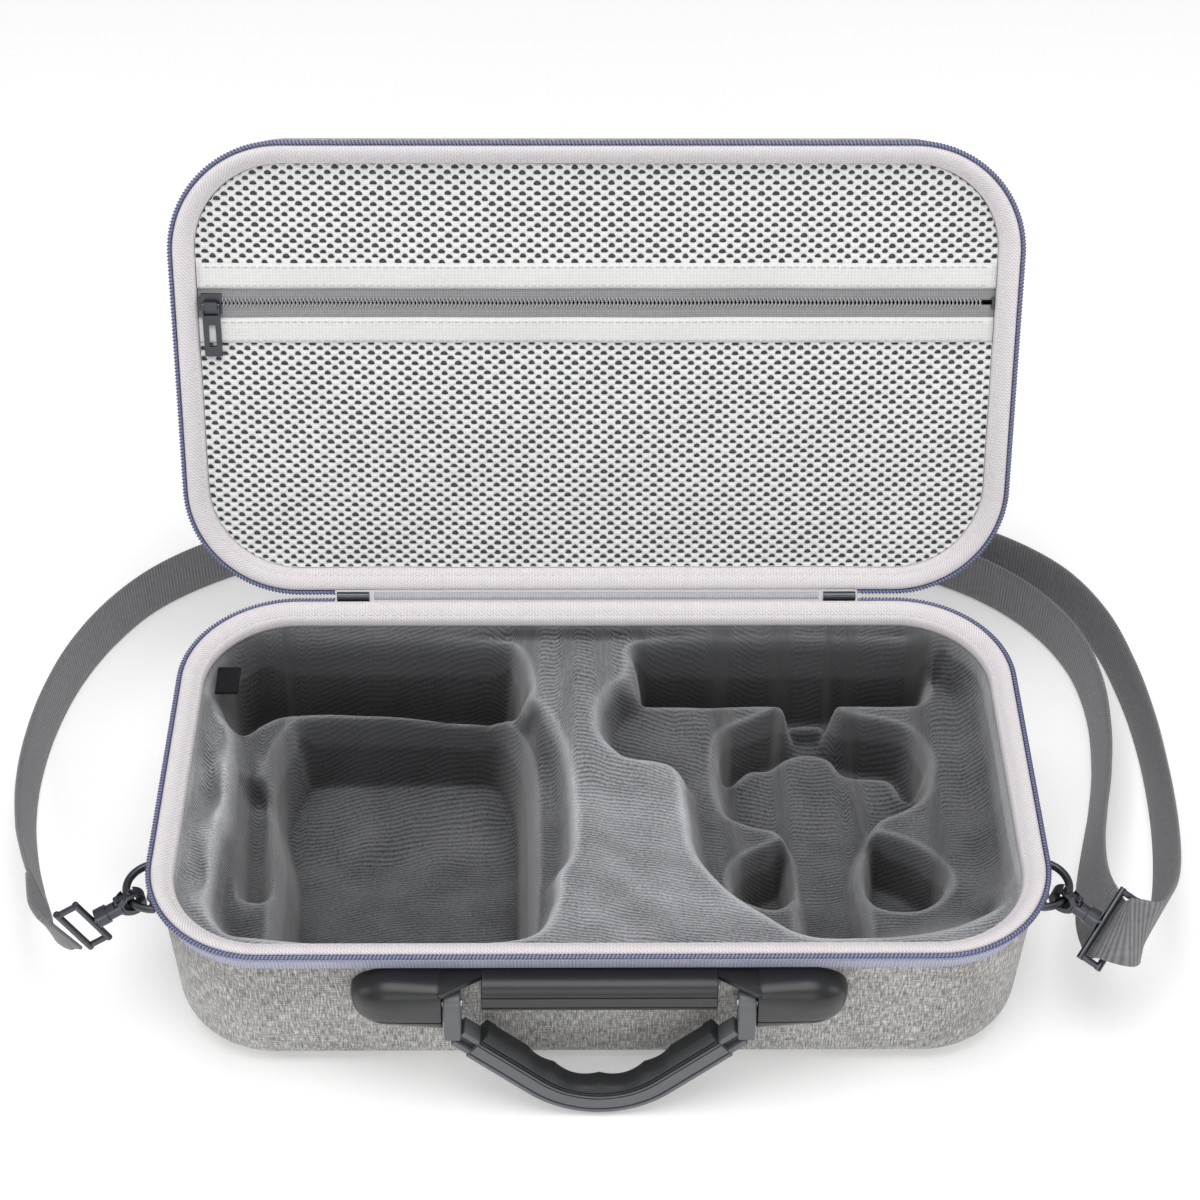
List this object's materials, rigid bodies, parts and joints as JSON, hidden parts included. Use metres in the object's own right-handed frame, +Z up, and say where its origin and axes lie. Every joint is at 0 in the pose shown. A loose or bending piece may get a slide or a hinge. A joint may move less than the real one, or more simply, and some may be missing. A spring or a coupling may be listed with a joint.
{
  "type": "zip carrying case",
  "caption": "Rigid rounded zip case, open, with a moulded insert, a mesh lid pocket, a folding handle and a detachable shoulder strap",
  "frame": {"origin": "centre of the base's flat underside, on the table", "axes": "+X right along the case's width, +Y back towards the lid's hinge, +Z up"},
  "size_m": [0.4641, 0.3246, 0.2463],
  "materials": {
    "shell_cloth": "heathered grey cloth over a moulded shell, matt",
    "binding_twill": "pale twill tape, matt",
    "zip_tape": "blue-grey woven zip tape",
    "zip_coil": "dark blue moulded coil, satin",
    "insert_knit": "grey ribbed knit laminated on moulded foam, matt",
    "black_tab": "black woven tab",
    "hinge_cloth": "pale woven hinge tape",
    "handle_plastic": "black nylon, fine texture",
    "grip_rubber": "soft black grip",
    "plate_plastic": "black plastic",
    "screw_steel": "plain steel",
    "zip_hardware": "black enamelled metal, satin",
    "lid_board": "grey cloth on board",
    "spacer_mesh": "white spacer mesh with staggered holes",
    "pocket_cloth": "white plain-woven strip",
    "pocket_tape": "mid-grey zip tape",
    "pocket_coil": "grey coil",
    "gunmetal": "dark gunmetal plate, satin",
    "tab_leather": "pale grey coated leather",
    "rivet_steel": "polished steel",
    "strap_web": "dark grey ribbed webbing, matt"
  },
  "bodies": {
    "base": {"base_shell": "shell_cloth", "base_rim_binding": "binding_twill", "base_zipper_tape": "zip_tape", "base_zipper_coil": "zip_coil", "base_insert": "insert_knit", "insert_tab": "black_tab", "hinge_strip": "hinge_cloth", "handle_housing": "handle_plastic", "handle_back_plate": "plate_plastic", "handle_screws": "screw_steel", "handle_pivot_pins": "screw_steel", "left_zipper_slider": "zip_hardware", "right_zipper_slider": "zip_hardware", "left_ring_tab": "tab_leather", "right_ring_tab": "tab_leather", "ring_tab_rivets": "rivet_steel", "strap_left_end": "strap_web", "strap_webbing": "strap_web", "tri_glide": "gunmetal"},
    "lid": {"lid_shell": "shell_cloth", "lid_rim_binding": "binding_twill", "lid_zipper_tape": "zip_tape", "lid_zipper_coil": "zip_coil", "lid_lining": "lid_board", "mesh_panel_upper": "spacer_mesh", "mesh_panel_lower": "spacer_mesh", "pocket_strip_upper": "pocket_cloth", "pocket_strip_lower": "pocket_cloth", "pocket_zipper_tape": "pocket_tape", "pocket_zipper_coil": "pocket_coil", "pocket_zipper_stops": "gunmetal"},
    "handle": {"handle_bail": "handle_plastic", "handle_grip": "grip_rubber"},
    "left_zipper_pull": {"left_zipper_pull": "zip_hardware"},
    "right_zipper_pull": {"right_zipper_pull": "zip_hardware"},
    "pocket_slider": {"pocket_slider": "gunmetal"},
    "pocket_pull": {"pocket_pull": "gunmetal"},
    "left_d_ring": {"left_d_ring": "gunmetal"},
    "left_hook": {"left_hook": "gunmetal"},
    "left_hook_gate": {"left_hook_gate": "gunmetal"},
    "left_strap_ring": {"left_strap_ring": "gunmetal"},
    "right_d_ring": {"right_d_ring": "gunmetal"},
    "right_hook": {"right_hook": "gunmetal"},
    "right_hook_gate": {"right_hook_gate": "gunmetal"},
    "right_strap_ring": {"right_strap_ring": "gunmetal"}
  },
  "joints": [
    {"name": "lid_hinge", "type": "hinge", "parent": "base", "child": "lid", "pos_m": [0, 0.093, 0.072], "axis": [1, 0, 0], "range_deg": [-70, 110]},
    {"name": "handle_pivot", "type": "hinge", "parent": "base", "child": "handle", "pos_m": [0, -0.09616, 0.0505], "axis": [-1, 0, 0], "range_deg": [-9.5, 100]},
    {"name": "left_zipper_pull_pivot", "type": "hinge", "parent": "base", "child": "left_zipper_pull", "pos_m": [-0.0985, 0.093, 0.064], "axis": [1, 0, 0], "range_deg": [-8, 8]},
    {"name": "right_zipper_pull_pivot", "type": "hinge", "parent": "base", "child": "right_zipper_pull", "pos_m": [0.0985, 0.093, 0.064], "axis": [1, 0, 0], "range_deg": [-8, 8]},
    {"name": "pocket_zip_slide", "type": "slide", "parent": "lid", "child": "pocket_slider", "axis": [1, 0, 0], "range_m": [0, 0.299]},
    {"name": "pocket_pull_pivot", "type": "hinge", "parent": "pocket_slider", "child": "pocket_pull", "pos_m": [-0.1495, 0.13711, 0.18471], "axis": [1, 0, 0], "range_deg": [-150, 1]},
    {"name": "left_d_ring_pivot", "type": "hinge", "parent": "base", "child": "left_d_ring", "pos_m": [-0.1636, -0.044, 0.053], "axis": [0, -1, 0], "range_deg": [-28, 28], "deforming": ["strap_left_end", "strap_webbing"]},
    {"name": "left_hook_swing", "type": "hinge", "parent": "left_d_ring", "child": "left_hook", "pos_m": [-0.17203, -0.05107, 0.053], "axis": [0.342, -0.9397, 0], "range_deg": [-10, 10], "deforming": ["strap_left_end", "strap_webbing"]},
    {"name": "left_gate_pivot", "type": "hinge", "parent": "left_hook", "child": "left_hook_gate", "pos_m": [-0.17671, -0.05278, 0.05488], "axis": [-0.342, 0.9397, 0], "range_deg": [0, 5], "stiffness_Nm_per_rad": 0.02, "springref_deg": -5.73},
    {"name": "left_ring_swivel", "type": "hinge", "parent": "left_hook", "child": "left_strap_ring", "pos_m": [-0.18447, -0.0556, 0.04844], "axis": [0.8885, 0.3234, 0.3256], "range_deg": [-15, 15], "deforming": ["strap_left_end", "strap_webbing"]},
    {"name": "right_d_ring_pivot", "type": "hinge", "parent": "base", "child": "right_d_ring", "pos_m": [0.1636, -0.044, 0.053], "axis": [0, 1, 0], "range_deg": [-40, 40], "deforming": ["strap_webbing"]},
    {"name": "right_hook_swing", "type": "hinge", "parent": "right_d_ring", "child": "right_hook", "pos_m": [0.17203, -0.05107, 0.053], "axis": [0.4848, 0.8746, 0], "range_deg": [-10, 10], "deforming": ["strap_webbing"]},
    {"name": "right_gate_pivot", "type": "hinge", "parent": "right_hook", "child": "right_hook_gate", "pos_m": [0.17639, -0.05349, 0.05488], "axis": [-0.4848, -0.8746, 0], "range_deg": [0, 5], "stiffness_Nm_per_rad": 0.02, "springref_deg": -5.73},
    {"name": "right_ring_swivel", "type": "hinge", "parent": "right_hook", "child": "right_strap_ring", "pos_m": [0.18361, -0.05749, 0.04844], "axis": [0.827, -0.4584, -0.3256], "range_deg": [-15, 15], "deforming": ["strap_webbing"]}
  ]
}
